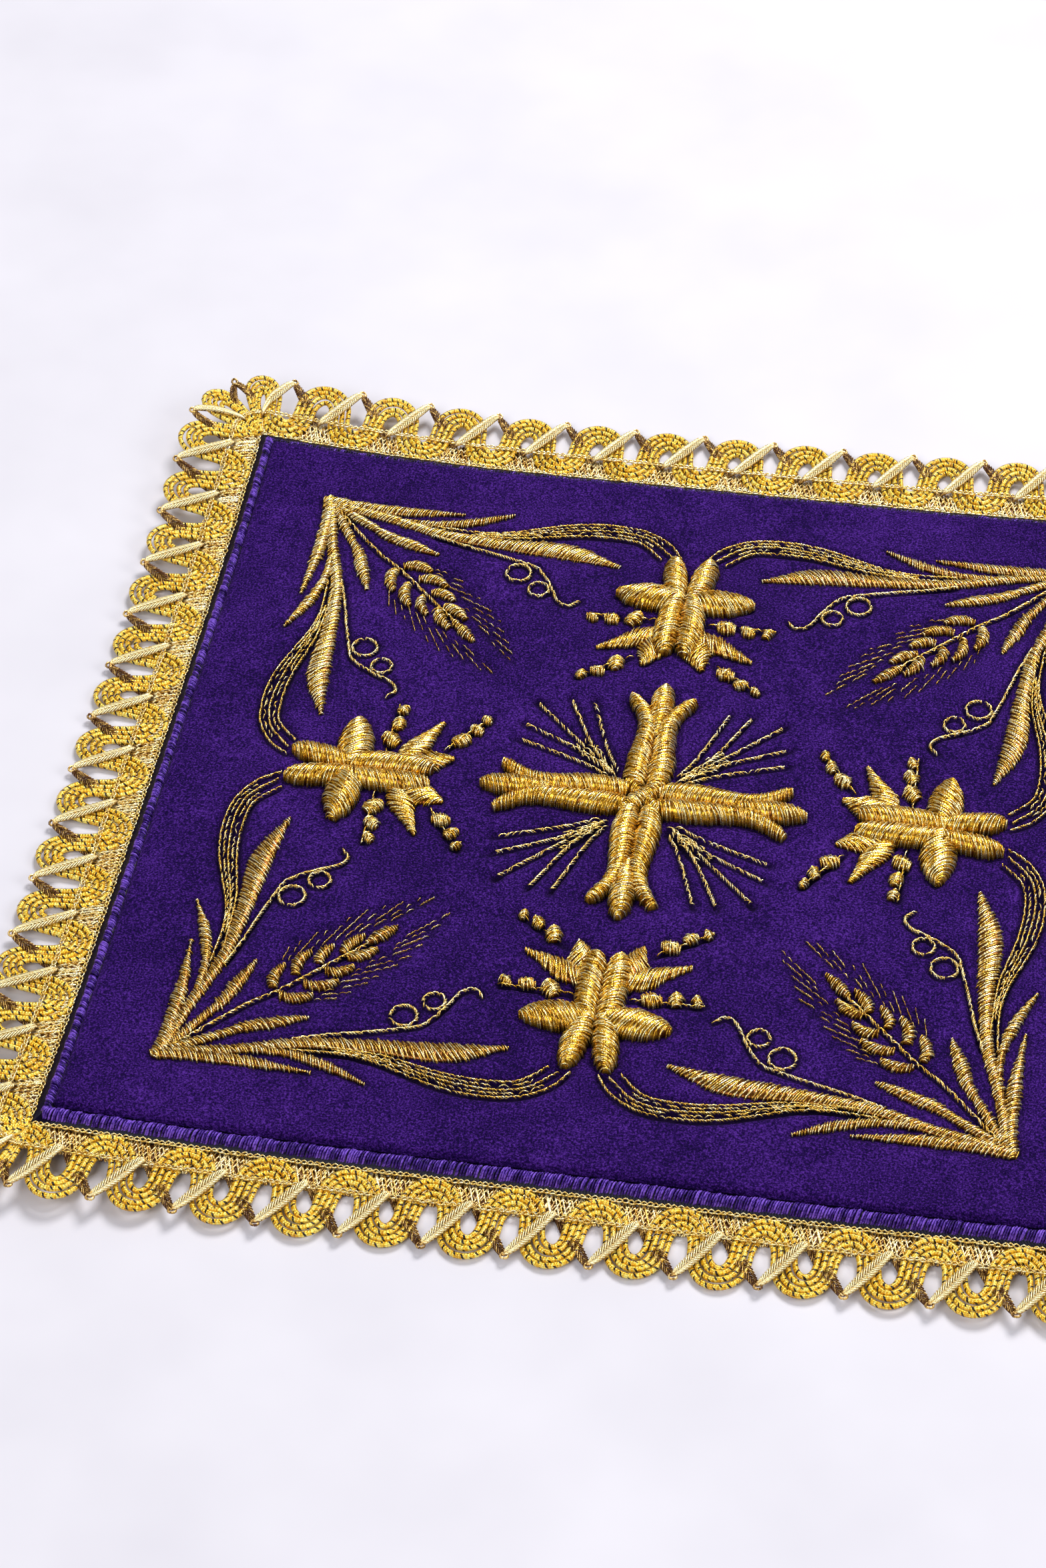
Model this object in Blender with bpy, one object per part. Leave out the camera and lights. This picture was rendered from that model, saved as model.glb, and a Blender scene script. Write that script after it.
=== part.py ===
"""A square altar pall: stiff purple velvet with raised gold embroidery, a satin-stitched edge and gold lace.

It lies flat, face up, with its corners curling a little. +X runs along the front edge, to the right, and +Y
runs to the back edge. The origin is the centre of the underside.
"""

import math

import bmesh
import bpy
from mathutils import Vector

MM = 0.001

# The velvet square, with the stiffener inside it
VELVET_HALF = 72.3 * MM
VELVET_TOP = 3.0 * MM
VELVET_RIM_TOP = 2.4 * MM
VELVET_LINES = (0, 18, 36, 47, 55, 62, 68, 71.4, 72.3)  # grid lines outward from the centre, in mm

# The satin-stitched edge round it
BINDING_INNER = 72.6 * MM
BINDING_OUTER = 74.7 * MM
BINDING_BOTTOM = 0.2 * MM
BINDING_TOP = 2.1 * MM
BINDING_SPANS = 12

# The lace, measured outward from its inner edge
LACE_INNER = 75.0 * MM
LACE_THICK = 1.1 * MM
LACE_REPEATS = 15  # in each side's strip, with its half of two corner fans
FAN_ARC = 11.55 * MM  # the lace taken up by an eighth of a turn at a corner
SEAM_GAP = 0.3 * MM
NOTCH_OUT = 9.8 * MM
SCALLOP_OUT = 13.3 * MM
SCALLOP_HALF = 3.9 * MM
PICOT_OUT = 12.0 * MM
PICOT_HALF = 1.15 * MM
PICOT_TIP_HALF = 0.65 * MM
EYELET_SIDES = 6
LACE_BENDS = (47, 58, 68, 75)  # where the strip gets extra edges to bend along, from its middle, in mm

# The embroidery's underside and its heights above that
STITCH_BASE = VELVET_TOP + 0.35 * MM
CROSS_HEIGHT = 1.9 * MM
LILY_HEIGHT = 1.8 * MM
TIP_HEIGHT = 0.7 * MM
LEAF_HEIGHT = 0.8 * MM
GRAIN_HEIGHT = 0.8 * MM
STEM_HEIGHT = 0.5 * MM

PURPLE = (0.045, 0.012, 0.155)
BRIGHT_PURPLE = (0.08, 0.03, 0.28)
GOLD = (0.62, 0.36, 0.07)
BRIGHT_GOLD = (0.75, 0.47, 0.06)

# Each corner: the signs of its x and y, how far it curls up, and how far past the diagonal, clockwise, the
# lace's middle picot sits, both in mm
CORNERS = {
    "back_left": {"x": -1, "y": 1, "lift": 2.2, "picot_shift": 3.0},
    "back_right": {"x": 1, "y": 1, "lift": 1.1, "picot_shift": 3.0},
    "front_right": {"x": 1, "y": -1, "lift": 0.7, "picot_shift": 0.0},
    "front_left": {"x": -1, "y": -1, "lift": 1.3, "picot_shift": 0.0},
}
CURL_START = 30 * MM  # how far from the velvet's corner, along the diagonal, the curl begins

# The four sides, clockwise, each with the corner at its start, the one at its end, and its turn from the back
SIDES = {
    "back": ("back_left", "back_right", 0),
    "right": ("back_right", "front_right", 1),
    "front": ("front_right", "front_left", 2),
    "left": ("front_left", "back_left", 3),
}

# The two eyelets of a repeat, in mm: place along from the repeat's start (a picot), place outward, half sizes
EYELETS = (
    {"along": 0.0, "out": 7.4, "half_along": 1.15, "half_out": 2.2},
    {"along": 5.9, "out": 7.6, "half_along": 0.95, "half_out": 1.85},
)

# Lobes of padded satin stitch in mm, each row a station: place outward from the centre, place to the side,
# half width. The other side is the mirror.
CROSS_ARM = ((1.5, 2.6), (4, 3.3), (8, 3.6), (12, 3.1), (16, 2.8), (18, 2.6))  # out, half width
CROSS_TIP = ((15, 0, 1.2), (18.5, 0, 1.75), (21.5, 0, 1.5), (24.8, 0, 0.5))
CROSS_SIDE_TIP = ((15.5, 1.6, 1.0), (18.5, 2.7, 1.1), (21.6, 4.9, 0.9))
LILY_LOBES = {
    "outer": ((44.5, 1.0, 1.2), (47.5, 1.9, 1.8), (51, 2.4, 1.9), (53.2, 2.8, 1.5), (54.4, 3.0, 0.6)),
    "petal": ((44.9, 0.6, 1.6), (44.9, 3.2, 2.6), (45.0, 6.0, 2.8), (45.2, 8.8, 1.7), (45.4, 11.0, 0.5)),
    "inner": ((45.5, 1.0, 1.2), (42, 1.8, 1.8), (37, 1.9, 1.9), (33.6, 1.9, 1.7), (32.2, 1.8, 0.8)),
}
LILY_TIPS = {
    "long": ((37.6, 2.6, 1.0), (35.2, 5.4, 1.7), (33.6, 8.8, 1.1), (32.6, 12.0, 0.3)),
    "short": ((35.0, 2.6, 2.2), (32.4, 3.4, 1.8), (29.8, 4.4, 0.3)),
}

# The corner spray's leaves in mm, along the back edge of the back left corner, as distances from the middle:
# across, outward, half width. Each has a twin, mirrored in the diagonal.
SPRAY_LEAVES = {
    "edge": ((60.4, 60.4, 0.9), (56, 59.9, 1.1), (48, 59.8, 1.2), (42, 60.2, 0.7), (38.4, 60.6, 0.25)),
    "spur": ((47.5, 57.6, 0.6), (42, 57.6, 0.7), (36, 59.1, 0.9), (30.2, 61.6, 0.25)),
    "long": (
        (59.6, 59.9, 0.9),
        (50, 58.0, 1.0),
        (41, 55.4, 1.1),
        (31, 54.4, 1.3),
        (20, 54.0, 1.9),
        (11.6, 51.8, 0.3),
    ),
    "short": ((58.4, 58.8, 0.7), (52, 55.1, 0.9), (48.8, 53.3, 1.1), (45.4, 52.1, 1.15), (40.8, 50.5, 0.3)),
}
SPRAY_SCROLL = (
    (42, 55.9, 0.7),
    (34, 56.0, 1.0),
    (26, 57.8, 1.4),
    (17, 60.0, 1.5),
    (10, 59.6, 1.5),
    (5.8, 57.3, 1.1),
)
SPRAY_STEM = ((59, 59, 0.7), (50.5, 49.8, 0.5), (46, 46, 0.5), (34, 34, 0.4))
# The wheat's grains on one side of the ear, as across, outward, half width, and the grain at its top
GRAINS = (
    ((46.6, 46.2, 0.4), (43.6, 47.1, 0.9), (40.9, 46.2, 0.35)),
    ((43.4, 43.7, 0.4), (40.5, 44.4, 0.9), (37.7, 42.9, 0.35)),
    ((40.6, 40.9, 0.4), (38.3, 41.3, 0.9), (36.2, 39.8, 0.35)),
    ((37.8, 38.2, 0.4), (35.5, 37.7, 0.95), (33.4, 35.8, 0.35)),
)
TOP_GRAIN = ((35.6, 35.6, 0.4), (33.6, 33.6, 1.0), (31.3, 31.3, 0.3))


def rise(x, y):
    """How far the flat pall is lifted at a place, by the curl of the nearest corner."""
    for corner in CORNERS.values():
        along = (corner["x"] * x + corner["y"] * y) / math.sqrt(2)
        start = VELVET_HALF * math.sqrt(2) - CURL_START
        part = (along - start) / CURL_START
        if part <= 0:
            continue
        lift = corner["lift"] * MM
        # Past the velvet's corner the lace goes on at the slope that it has there.
        return lift * part**2 if part < 1 else lift * (2 * part - 1)
    return 0.0


def make_material(name, colour, roughness, metallic=0.0):
    material = bpy.data.materials.new(name)
    material.use_nodes = True
    shader = material.node_tree.nodes["Principled BSDF"]
    shader.inputs["Base Color"].default_value = (*colour, 1.0)
    shader.inputs["Roughness"].default_value = roughness
    shader.inputs["Metallic"].default_value = metallic
    return material


def make_object(name, mesh, material=None):
    obj = bpy.data.objects.new(name, mesh)
    bpy.context.scene.collection.objects.link(obj)
    if material:
        mesh.materials.append(material)
    return obj


def mesh_from(name, bm):
    """The bmesh as a mesh with its faces turned outwards."""
    bmesh.ops.recalc_face_normals(bm, faces=bm.faces)
    mesh = bpy.data.meshes.new(name)
    bm.to_mesh(mesh)
    bm.free()
    return mesh


def curl(mesh):
    """Lifts a mesh that was made flat."""
    for vertex in mesh.vertices:
        vertex.co.z += rise(vertex.co.x, vertex.co.y)


def turned(point, quarter_turns):
    """A point of the back side, turned clockwise to another side."""
    x, y = point
    for _ in range(quarter_turns % 4):
        x, y = y, -x
    return x, y


def make_velvet(material):
    """The velvet square: one closed slab, rounded a little at its rim."""
    lines = [-line * MM for line in VELVET_LINES[:0:-1]] + [line * MM for line in VELVET_LINES]
    last = len(lines) - 1
    bm = bmesh.new()
    top, bottom = {}, {}
    for i, x in enumerate(lines):
        for j, y in enumerate(lines):
            at_rim = i in (0, last) or j in (0, last)
            top[i, j] = bm.verts.new((x, y, VELVET_RIM_TOP if at_rim else VELVET_TOP))
            bottom[i, j] = bm.verts.new((x, y, 0))
    for layer in (top, bottom):
        for i in range(last):
            for j in range(last):
                bm.faces.new((layer[i, j], layer[i + 1, j], layer[i + 1, j + 1], layer[i, j + 1]))
    around = [(i, 0) for i in range(last)] + [(last, j) for j in range(last)]
    around += [(i, last) for i in range(last, 0, -1)] + [(0, j) for j in range(last, 0, -1)]
    for here, there in zip(around, around[1:] + around[:1]):
        bm.faces.new((top[here], bottom[here], bottom[there], top[there]))
    mesh = mesh_from("velvet_panel", bm)
    curl(mesh)
    make_object("velvet_panel", mesh, material)


def make_binding(side, material):
    """One side's rounded bar of satin stitches, mitred at both ends."""
    _, _, quarter_turns = SIDES[side]
    middle = (BINDING_INNER + BINDING_OUTER) / 2
    half = (BINDING_OUTER - BINDING_INNER) / 2
    # The bar's section: outward from its middle line, and height, as parts of the half width and the height
    section = ((-1, 0.0), (-1, 0.7), (-0.45, 1.0), (0.45, 1.0), (1, 0.7), (1, 0.0))
    bm = bmesh.new()
    rings = []
    for step in range(BINDING_SPANS + 1):
        part = 2 * step / BINDING_SPANS - 1
        ring = []
        for out, up in section:
            outward = middle + out * half
            along = part * (outward - SEAM_GAP / math.sqrt(2))
            x, y = turned((along, outward), quarter_turns)
            ring.append(bm.verts.new((x, y, BINDING_BOTTOM + up * (BINDING_TOP - BINDING_BOTTOM))))
        rings.append(ring)
    close_rings(bm, rings)
    name = "binding_" + side
    mesh = mesh_from(name, bm)
    curl(mesh)
    make_object(name, mesh, material)


def close_rings(bm, rings):
    """Joins a row of closed rings with faces, and caps both ends."""
    for ring, following in zip(rings, rings[1:]):
        for i in range(len(ring)):
            j = (i + 1) % len(ring)
            bm.faces.new((ring[i], ring[j], following[j], following[i]))
    bm.faces.new(rings[0])
    bm.faces.new(rings[-1][::-1])


def lace_place(along, out):
    """Where a point of the lace's tape lies on the back side: straight, then fanned round the corner."""
    past = abs(along) - LACE_INNER
    sign = math.copysign(1, along)
    if past <= 0:
        return along, LACE_INNER + out
    angle = past / FAN_ARC * math.pi / 4
    return sign * (LACE_INNER + out * math.sin(angle)), LACE_INNER + out * math.cos(angle)


def lace_outline(start, end):
    """The outer edge of a strip from its start to its end: a scallop a repeat, with picots between."""
    pitch = (end - start) / LACE_REPEATS
    points = []
    for repeat in range(LACE_REPEATS):
        picot, middle = start + repeat * pitch, start + (repeat + 0.5) * pitch
        if repeat:
            points += [(picot - PICOT_TIP_HALF, PICOT_OUT), (picot + PICOT_TIP_HALF, PICOT_OUT)]
        points.append((picot + PICOT_HALF, NOTCH_OUT))
        for degrees in range(165, 0, -30):
            angle = math.radians(degrees)
            along = middle + SCALLOP_HALF * math.cos(angle)
            points.append((along, NOTCH_OUT + (SCALLOP_OUT - NOTCH_OUT) * math.sin(angle)))
        points.append((picot + pitch - PICOT_HALF, NOTCH_OUT))
    return points, pitch


def seam_end(along, inward):
    """The end of a strip at its seam: from the picot to the lace's inner edge, half a gap back from it."""
    picot = Vector(lace_place(along, PICOT_OUT))
    corner = Vector((math.copysign(LACE_INNER, along), LACE_INNER))
    leg = (picot - corner).normalized()
    across = Vector((leg.y, -leg.x)) * math.copysign(SEAM_GAP / 2, -along)
    points = [picot + across, corner + across + leg * SEAM_GAP]
    return points if inward else points[::-1]


def make_lace(side, material):
    """One side's strip of lace, with its eyelets cut through."""
    first, last, quarter_turns = SIDES[side]
    start = -LACE_INNER - FAN_ARC + CORNERS[first]["picot_shift"] * MM
    end = LACE_INNER + FAN_ARC + CORNERS[last]["picot_shift"] * MM
    edge, pitch = lace_outline(start, end)
    outline = [Vector(lace_place(*point)) for point in edge]
    outline += seam_end(end, inward=True)
    for repeat in range(LACE_REPEATS - 1, 0, -1):
        along = start + repeat * pitch
        if abs(along) < LACE_INNER - PICOT_HALF:
            outline.append(Vector((along, LACE_INNER)))
    outline += seam_end(start, inward=False)
    loops = [outline]
    for repeat in range(LACE_REPEATS):
        for eyelet in EYELETS:
            middle = start + repeat * pitch + eyelet["along"] * MM
            if repeat == 0 and eyelet["along"] == 0:
                continue
            hole = []
            for corner in range(EYELET_SIDES):
                angle = 2 * math.pi * corner / EYELET_SIDES
                along = middle + eyelet["half_along"] * MM * math.sin(angle)
                hole.append(lace_place(along, (eyelet["out"] + eyelet["half_out"] * math.cos(angle)) * MM))
            loops.append(hole)

    curve = bpy.data.curves.new("lace_outline", "CURVE")
    curve.dimensions = "2D"
    curve.fill_mode = "BOTH"
    curve.extrude = LACE_THICK / 2
    for loop in loops:
        spline = curve.splines.new("POLY")
        spline.points.add(len(loop) - 1)
        for place, point in zip(spline.points, loop):
            x, y = turned(point, quarter_turns)
            place.co = (x, y, 0, 1)
        spline.use_cyclic_u = True
    outline_object = make_object("lace_outline", curve)
    bm = bmesh.new()
    bm.from_mesh(evaluated_mesh(outline_object))
    bpy.data.objects.remove(outline_object)
    bmesh.ops.remove_doubles(bm, verts=bm.verts, dist=0.001 * MM)
    bmesh.ops.translate(bm, verts=bm.verts, vec=(0, 0, LACE_THICK / 2))
    for bend in LACE_BENDS:
        for place in (-bend * MM, bend * MM):
            way = Vector((*turned((1, 0), quarter_turns), 0))
            whole = bm.verts[:] + bm.edges[:] + bm.faces[:]
            bmesh.ops.bisect_plane(bm, geom=whole, dist=0.0001 * MM, plane_co=way * place, plane_no=way)
    name = "lace_" + side
    mesh = mesh_from(name, bm)
    curl(mesh)
    make_object(name, mesh, material)


def evaluated_mesh(obj):
    bpy.context.view_layer.update()
    graph = bpy.context.evaluated_depsgraph_get()
    return bpy.data.meshes.new_from_object(obj.evaluated_get(graph))


# A lobe's section from edge to edge: place across and height, as parts of the half width and the full height
ROUND_SECTION = ((-1, 0), (-0.78, 0.62), (0, 1), (0.78, 0.62), (1, 0))
FLAT_SECTION = ((-1, 0), (-0.6, 0.9), (0.6, 0.9), (1, 0))
DOUBLE_SECTION = ((-1, 0), (-0.92, 0.6), (-0.5, 1), (0, 0.66), (0.5, 1), (0.92, 0.6), (1, 0))


def make_lobe(stations, height, section=ROUND_SECTION, taper=0.55):
    """A flat-bottomed lobe along its stations (x, y, half width in mm), lower towards narrow ends."""
    widest = max(half for _, _, half in stations)
    bm = bmesh.new()
    rings = []
    for i, (x, y, half) in enumerate(stations):
        before, after = stations[max(i - 1, 0)], stations[min(i + 1, len(stations) - 1)]
        way = Vector((after[0] - before[0], after[1] - before[1])).normalized()
        top = height * (1 - taper + taper * min(half / widest, 1))
        ring = []
        for across, up in section:
            place = (x + way.y * half * across, y - way.x * half * across)
            ring.append(bm.verts.new((place[0] * MM, place[1] * MM, STITCH_BASE + top * up)))
        rings.append(ring)
    close_rings(bm, rings)
    return make_object("lobe", mesh_from("lobe", bm))


def fuse(name, lobes, material):
    """One solid of all the lobes, lifted with the pall's curl.

    The lobes share one underside, where the exact solver leaves inner faces, so this takes the manifold one.
    """
    base = lobes[0]
    for lobe in lobes[1:]:
        union = base.modifiers.new("union", "BOOLEAN")
        union.operation = "UNION"
        union.solver = "MANIFOLD"
        union.object = lobe
    bm = bmesh.new()
    bm.from_mesh(evaluated_mesh(base))
    for lobe in lobes:
        bpy.data.objects.remove(lobe)
    bmesh.ops.triangulate(bm, faces=bm.faces)
    mesh = mesh_from(name, bm)
    curl(mesh)
    make_object(name, mesh, material)


def both_sides(stations):
    """The stations, and their mirror in the line that runs outward from the centre."""
    return stations, tuple((out, -across, half) for out, across, half in stations)


def facing(stations, quarter_turns):
    """Stations given as outward and across, on the side that a number of quarter turns reaches."""
    return tuple((*turned((across, out), quarter_turns), half) for out, across, half in stations)


def make_cross(material):
    lobes = []
    for quarter_turns in range(4):
        arm = tuple((out, 0, half) for out, half in CROSS_ARM)
        lobes.append(make_lobe(facing(arm, quarter_turns), CROSS_HEIGHT, DOUBLE_SECTION, taper=0.3))
        lobes.append(make_lobe(facing(CROSS_TIP, quarter_turns), CROSS_HEIGHT))
        for tip in both_sides(CROSS_SIDE_TIP):
            lobes.append(make_lobe(facing(tip, quarter_turns), CROSS_HEIGHT, taper=0.4))
    knot = tuple((out, 0, half) for out, half in ((-3, 1.6), (0, 3.2), (3, 1.6)))
    lobes.append(make_lobe(facing(knot, 0), CROSS_HEIGHT, taper=0.2))
    fuse("cross", lobes, material)


def make_lily(side, material):
    _, _, quarter_turns = SIDES[side]
    lobes = []
    for stations in LILY_LOBES.values():
        for lobe in both_sides(stations):
            lobes.append(make_lobe(facing(lobe, quarter_turns), LILY_HEIGHT))
    for stations in LILY_TIPS.values():
        for tip in both_sides(stations):
            lobes.append(make_lobe(facing(tip, quarter_turns), TIP_HEIGHT, FLAT_SECTION, taper=0.2))
    fuse("lily_" + side, lobes, material)


def make_spray(corner_name, material):
    """A corner's leaves, scrolls and wheat ear, each with its twin on the other side of the diagonal."""
    corner = CORNERS[corner_name]

    def placed(stations, twin):
        rows = []
        for across, out, half in stations:
            x, y = (out, across) if twin else (across, out)
            rows.append((corner["x"] * x, corner["y"] * y, half))
        return tuple(rows)

    lobes = [make_lobe(placed(SPRAY_STEM, False), STEM_HEIGHT, FLAT_SECTION, taper=0)]
    for twin in (False, True):
        for stations in SPRAY_LEAVES.values():
            lobes.append(make_lobe(placed(stations, twin), LEAF_HEIGHT))
        lobes.append(make_lobe(placed(SPRAY_SCROLL, twin), STEM_HEIGHT, FLAT_SECTION, taper=0))
        for grain in GRAINS:
            lobes.append(make_lobe(placed(grain, twin), GRAIN_HEIGHT))
    lobes.append(make_lobe(placed(TOP_GRAIN, False), GRAIN_HEIGHT))
    fuse("corner_spray_" + corner_name, lobes, material)


def main():
    for obj in list(bpy.data.objects):
        bpy.data.objects.remove(obj)

    velvet = make_material("purple_velvet", PURPLE, 0.9)
    purple_thread = make_material("purple_thread", BRIGHT_PURPLE, 0.5)
    gold_thread = make_material("gold_thread", GOLD, 0.35, 0.8)
    gold_lace = make_material("gold_lace", BRIGHT_GOLD, 0.35, 0.8)

    make_velvet(velvet)
    for side in SIDES:
        make_binding(side, purple_thread)
        make_lace(side, gold_lace)
        make_lily(side, gold_thread)
    make_cross(gold_thread)
    for corner_name in CORNERS:
        make_spray(corner_name, gold_thread)


main()
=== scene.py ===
import math

import bpy
import numpy as np
from mathutils import Matrix, Vector


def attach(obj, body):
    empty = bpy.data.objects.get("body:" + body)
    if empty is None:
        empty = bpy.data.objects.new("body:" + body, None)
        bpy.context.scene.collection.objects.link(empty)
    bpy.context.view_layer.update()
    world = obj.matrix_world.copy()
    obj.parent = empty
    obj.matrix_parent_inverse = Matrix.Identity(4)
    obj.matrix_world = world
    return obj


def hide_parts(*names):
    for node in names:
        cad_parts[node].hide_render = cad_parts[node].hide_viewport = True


# The looks of a square altar pall: purple velvet with padded gold embroidery, a satin-stitched edge and gold
# lace. Sizes are in millimetres until a mesh is made. +X runs right along the front edge, +Y to the back.

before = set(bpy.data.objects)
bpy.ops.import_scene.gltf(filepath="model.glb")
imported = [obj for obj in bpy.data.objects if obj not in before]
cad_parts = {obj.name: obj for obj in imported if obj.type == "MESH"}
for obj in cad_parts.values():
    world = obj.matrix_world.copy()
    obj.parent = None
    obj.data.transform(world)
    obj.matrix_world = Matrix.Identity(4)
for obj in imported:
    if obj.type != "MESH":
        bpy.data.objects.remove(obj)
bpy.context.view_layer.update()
rng = np.random.default_rng(11)

MM = 0.001

# The photograph's frame, and the camera that took it: turns in degrees, lengths in millimetres
PHOTO_HEIGHT = 2351
FOCAL_PIXELS = 6053
SENSOR = 36.0
CAMERA = {"azimuth": 10.96, "elevation": 44.63, "roll": -1.65, "distance": 608.25, "right": -18.0, "up": 4.65}

# The pall's parts, as in the frame
VELVET_HALF = 72.3
VELVET_TOP = 3.0
BINDING_INNER = 72.6
LACE_INNER = 75.0
LACE_REPEATS = 15
FAN_ARC = 11.55  # the lace taken up by an eighth of a turn at a corner
STITCH_BASE = 3.0  # where the embroidery leaves the pile
CROSS_HEIGHT = 2.1
HUB_HEIGHT = 2.0
LILY_HEIGHT = 2.0
TIP_HEIGHT = 0.75
LEAF_HEIGHT = 0.42
GRAIN_HEIGHT = 0.65
BEAD_HEIGHT = 1.1

# Each corner: the signs of its x and y, how far it curls up, and how far past the diagonal, clockwise, the
# lace's middle picot sits
CORNERS = {
    "back_left": {"x": -1, "y": 1, "lift": 2.2, "picot_shift": 3.0},
    "back_right": {"x": 1, "y": 1, "lift": 1.1, "picot_shift": 3.0},
    "front_right": {"x": 1, "y": -1, "lift": 0.7, "picot_shift": 0.0},
    "front_left": {"x": -1, "y": -1, "lift": 1.3, "picot_shift": 0.0},
}
CURL_START = 30.0

# The four sides, clockwise, each with the corner at its start, the one at its end, and its turn from the back
SIDES = {
    "back": ("back_left", "back_right", 0),
    "right": ("back_right", "front_right", 1),
    "front": ("front_right", "front_left", 2),
    "left": ("front_left", "back_left", 3),
}

# Lobes of padded satin stitch. Each row is a station: its place outward from the centre, its place to the
# side, and the lobe's half width there.
CROSS_LOBES = {
    "long": ((2.4, 1.3, 1.3), (4, 1.65, 1.9), (8, 1.75, 2.05), (12, 1.5, 1.8), (15.5, 1.5, 1.55),
             (18.4, 2.4, 1.3), (21.0, 4.1, 1.1), (22.0, 4.9, 0.65)),
    "tip": ((13.5, 0, 0.9), (17.5, 0, 1.9), (20.5, 0, 2.0), (23.2, 0, 1.55), (24.8, 0, 0.6)),
    "knot": ((0.7, 0.7, 0.9), (1.7, 1.7, 1.3), (2.9, 2.9, 0.6)),
    "hub": ((-2.0, -2.0, 0.9), (-1.0, -1.0, 1.7), (0, 0, 1.9), (1.0, 1.0, 1.7), (2.0, 2.0, 0.9)),
}
LILY_LOBES = {
    "outer": ((44.5, 1.0, 1.2), (47.5, 1.8, 1.95), (51, 2.4, 2.0), (53.2, 2.8, 1.55), (54.4, 3.0, 0.6)),
    "inner": ((45.5, 1.0, 1.3), (42, 1.7, 2.0), (37, 1.8, 2.1), (33.6, 1.8, 1.8), (32.2, 1.8, 0.8)),
    "petal": ((44.9, 0.6, 1.6), (44.9, 3.2, 2.6), (45.0, 6.0, 2.85), (45.2, 8.8, 2.1), (45.4, 10.3, 1.2),
              (45.4, 11.0, 0.5)),
}
LILY_TIPS = {
    "long": ((37.4, 3.0, 1.4), (35.9, 5.8, 2.15), (34.4, 8.6, 1.35), (32.6, 12.2, 0.35)),
    "short": ((36.0, 2.9, 2.3), (33.4, 3.6, 2.6), (31.5, 4.2, 1.6), (29.7, 4.8, 0.35)),
}

# Knots of stitches beside each lily (outward, to the side, radius) and the threads between them (from and to)
BEADS = ((39.8, 7.3, 1.7), (39.3, 10.8, 1.4), (39.2, 13.9, 1.1),
         (29.2, 8.6, 1.6), (27.2, 11.2, 1.25), (26, 13.6, 0.95))
BEAD_THREADS = (((40.2, 3.6), (40.0, 15.0)), ((31.4, 6.2), (25.6, 14.4)))
KNOT_OUTLINE = ((-1.05, 0.45), (-0.75, 0.8), (0, 1.0), (0.75, 0.8), (1.05, 0.45))  # along, half width

# Rays between the cross's arms, and sparse stitches among them: places outward and to the side, from and to.
# The first ray lies on the diagonal, and each of the others has a twin across it.
RAYS = (((4.6, 4.6), (18.7, 18.5)),
        ((5.0, 5.2), (11.0, 9.4), (19.9, 13.8)),
        ((5.8, 4.5), (10.4, 6.9), (20.1, 10.4)))
RAY_FILLS = (((5.2, 6.0), (10.6, 11.8)), ((5.6, 5.4), (10.6, 8.6)))
FURROW_PAST = 1.1  # how far a ray's furrow in the pile runs past its end

# The corner spray, from the centre: across, outward and, of lobes, half width. Each part but the top grain
# and the stem has a twin in the diagonal.
SPRAY_LEAVES = {
    "edge": ((61.4, 60.6, 0.6), (59.8, 60.4, 1.15), (56, 60.0, 1.1), (48, 59.9, 1.15), (42, 60.3, 0.6),
             (38.2, 60.6, 0.2)),
    "spur": ((47.5, 57.6, 0.6), (42, 57.6, 0.75), (36, 59.1, 0.95), (30.2, 61.6, 0.25)),
    "long": ((59.2, 59.8, 0.9), (50, 57.9, 1.0), (41, 55.4, 1.1), (31, 54.4, 1.35), (20, 54.0, 1.95),
             (11.4, 51.7, 0.3)),
    "short": ((58.6, 59.0, 0.6), (55, 57.0, 0.9), (51.5, 54.9, 0.8), (49, 53.4, 1.1), (45.5, 52.2, 1.2),
              (42.5, 51, 0.75), (40.6, 50.4, 0.25)),
}
SCROLL_ROWS = {
    "outer": ((42, 56.9), (35, 56.6), (30, 57.3), (25, 59.0), (20, 60.6), (15, 61.3), (10, 61.0), (7, 60.0),
              (4, 57.9), (2, 55.0)),
    "middle": ((36, 56.0), (30, 56.6), (25, 57.9), (20, 59.2), (14, 59.9), (10, 59.6), (7, 58.4),
               (3.6, 55.2)),
    "inner": ((40, 55.6), (30, 55.9), (25, 56.8), (20, 57.9), (15, 58.4), (10, 58.1), (7.6, 56.8),
              (5.2, 54.4)),
}
STEM = ((59, 59), (50.5, 49.8), (46, 46), (40, 40), (34, 34))
GRAINS = (
    ((45.6, 46.8, 0.7), (44.2, 47.2, 1.0), (42.3, 46.9, 1.0), (40.9, 46.1, 0.45)),
    ((42.6, 44.1, 0.7), (41.2, 44.4, 0.95), (39.3, 44.0, 0.95), (37.8, 42.9, 0.45)),
    ((40.0, 41.2, 0.7), (38.9, 41.4, 0.95), (37.4, 40.9, 0.95), (36.2, 39.8, 0.45)),
    ((37.4, 38.3, 0.7), (36.2, 38.0, 1.0), (34.8, 37.1, 1.0), (33.5, 35.8, 0.45)),
)
TOP_GRAIN = ((35.2, 34.9, 0.6), (33.9, 33.6, 1.0), (32.7, 32.3, 1.0), (31.4, 31.1, 0.4))
TENDRIL = ((16.5, 42.8), (18.2, 41.4), (20, 42.4), (21.3, 45), (22.8, 47.6), (24.5, 49.6), (26.6, 50.4),
           (29, 51.1), (33, 52.2), (37, 53.2), (42, 54.8))
TENDRIL_RINGS = ((27.2, 48.0, 1.95), (23.4, 44.6, 1.6))  # centre and radius
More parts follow.
